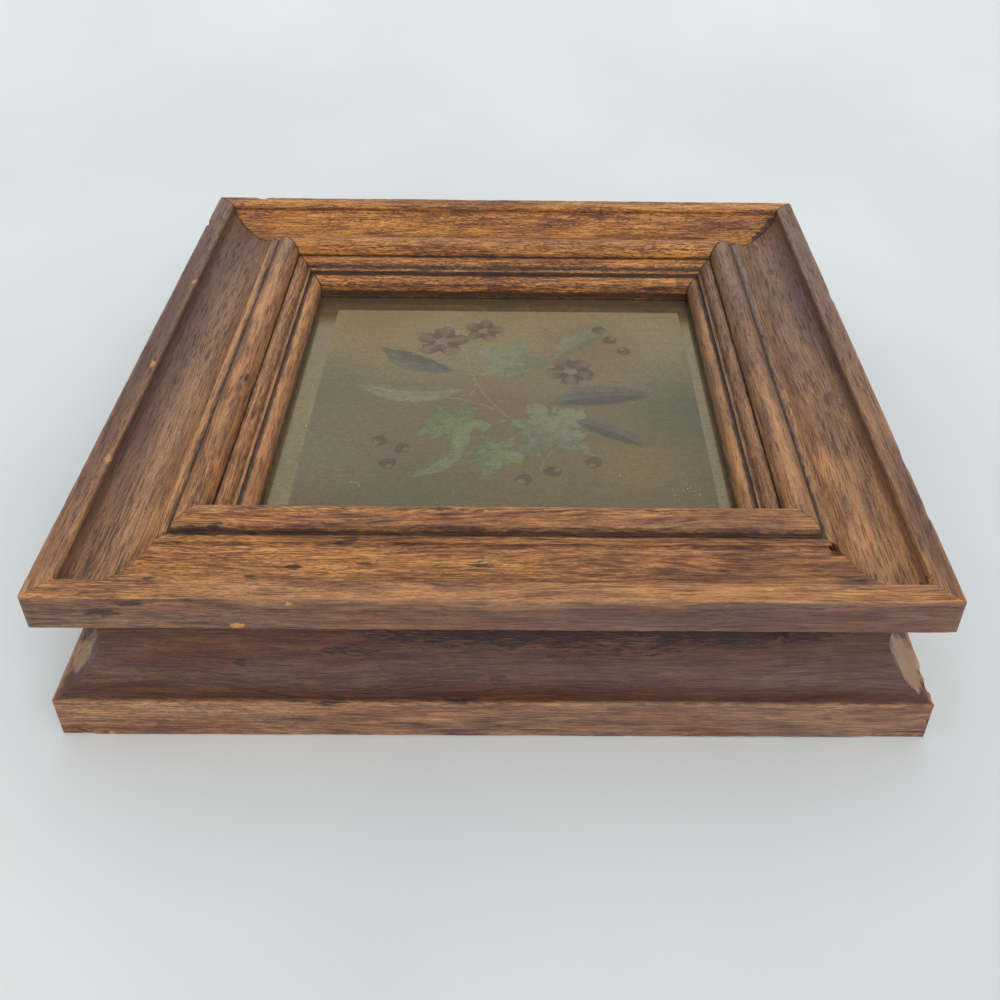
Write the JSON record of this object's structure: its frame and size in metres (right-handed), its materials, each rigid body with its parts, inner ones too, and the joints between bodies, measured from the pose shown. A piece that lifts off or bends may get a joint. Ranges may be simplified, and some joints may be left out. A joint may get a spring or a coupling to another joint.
{
  "type": "framed brass wall art",
  "caption": "Small deep wooden picture frame with a hollow-sided moulding, holding a printed brass plate with a bare brass margin.",
  "frame": {"origin": "centre of the flat back of the frame", "axes": "+Z out of the picture, +Y towards the picture's head, +X to the picture's right"},
  "size_m": [0.2552, 0.2422, 0.0566],
  "materials": {
    "frame_wood": "stained and waxed, worn at the edges",
    "printed_brass": "olive printed ground and a bare, tarnished brass margin",
    "board": "plain fibre board"
  },
  "bodies": {
    "root": {"bottom_rail": "frame_wood", "right_rail": "frame_wood", "top_rail": "frame_wood", "left_rail": "frame_wood", "brass_plate": "printed_brass", "backing_board": "board"}
  },
  "joints": []
}
